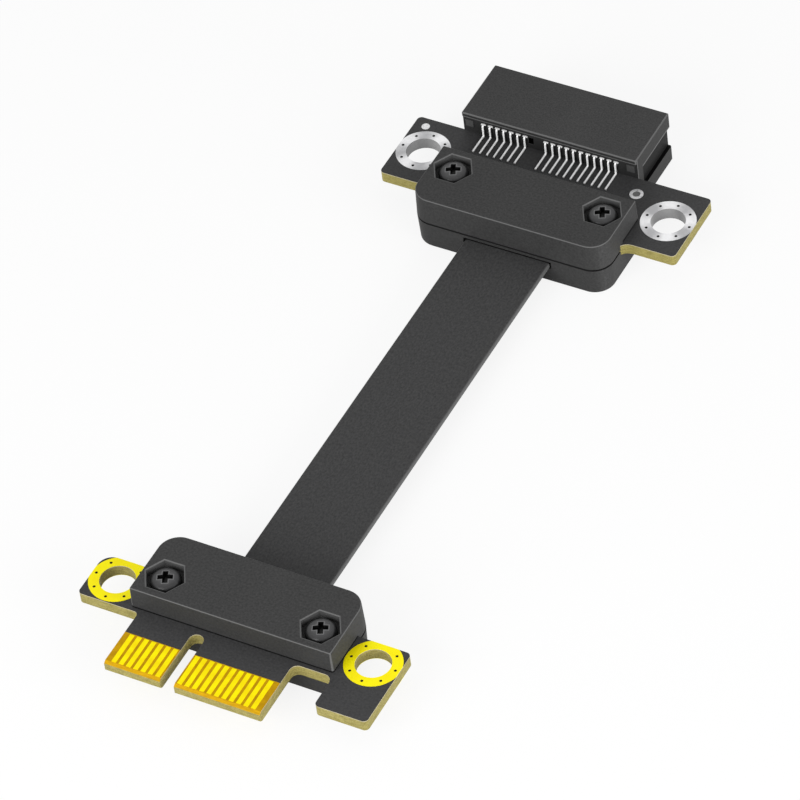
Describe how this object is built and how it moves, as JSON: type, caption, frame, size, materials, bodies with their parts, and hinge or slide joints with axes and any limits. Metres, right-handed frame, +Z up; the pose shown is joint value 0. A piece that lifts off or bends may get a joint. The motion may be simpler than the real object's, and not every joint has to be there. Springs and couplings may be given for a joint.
{
  "type": "pcie extension cable",
  "caption": "Short flat extension lead with a card-edge plug board at one end and a card-edge socket board at the other, each in a screwed two-part shell.",
  "frame": {"origin": "on the surface the part lies on, under the middle of the cable and half-way along the whole part", "axes": "+Y runs along the cable from the plug's tip to the socket's mouth, +X runs across both boards towards the longer run of contacts, +Z is up"},
  "size_m": [0.042, 0.1076, 0.0081],
  "materials": {
    "solder_mask": "black board lacquer, matte, over glass-filled board",
    "gold_finger": "gold plate on copper, bright",
    "gold_ring": "gold plate on copper, bright",
    "tinned_ring": "tinned copper, satin",
    "tinned_pad": "tinned copper, satin",
    "shell_plastic": "moulded, very fine texture",
    "black_screw": "black oxide, satin",
    "black_nut": "black oxide, satin",
    "solder": "soft solder, satin",
    "housing_plastic": "moulded, satin",
    "tinned_contact": "tin-plated spring metal, bright",
    "cable_plastic": "soft flat jacket, matte",
    "tinned_wire": "tinned copper wire"
  },
  "bodies": {
    "root": {"plug_board": "solder_mask", "plug_upper_fingers": "gold_finger", "plug_lower_fingers": "gold_finger", "plug_left_ring": "gold_ring", "plug_right_ring": "gold_ring", "plug_upper_shell": "shell_plastic", "plug_lower_shell": "shell_plastic", "plug_screws": "black_screw", "plug_nuts": "black_nut", "plug_cable_joints": "solder", "socket_board": "solder_mask", "socket_left_ring": "tinned_ring", "socket_right_ring": "tinned_ring", "socket_round_pad": "tinned_pad", "socket_test_eyelet": "tinned_pad", "socket_upper_shell": "shell_plastic", "socket_lower_shell": "shell_plastic", "socket_screws": "black_screw", "socket_nuts": "black_nut", "socket_cable_joints": "solder", "socket_housing": "housing_plastic", "socket_upper_contacts": "tinned_contact", "socket_lower_contacts": "tinned_contact", "socket_upper_pads": "tinned_pad", "socket_lower_pads": "tinned_pad", "cable_jacket": "cable_plastic", "cable_conductors": "tinned_wire"}
  },
  "joints": []
}
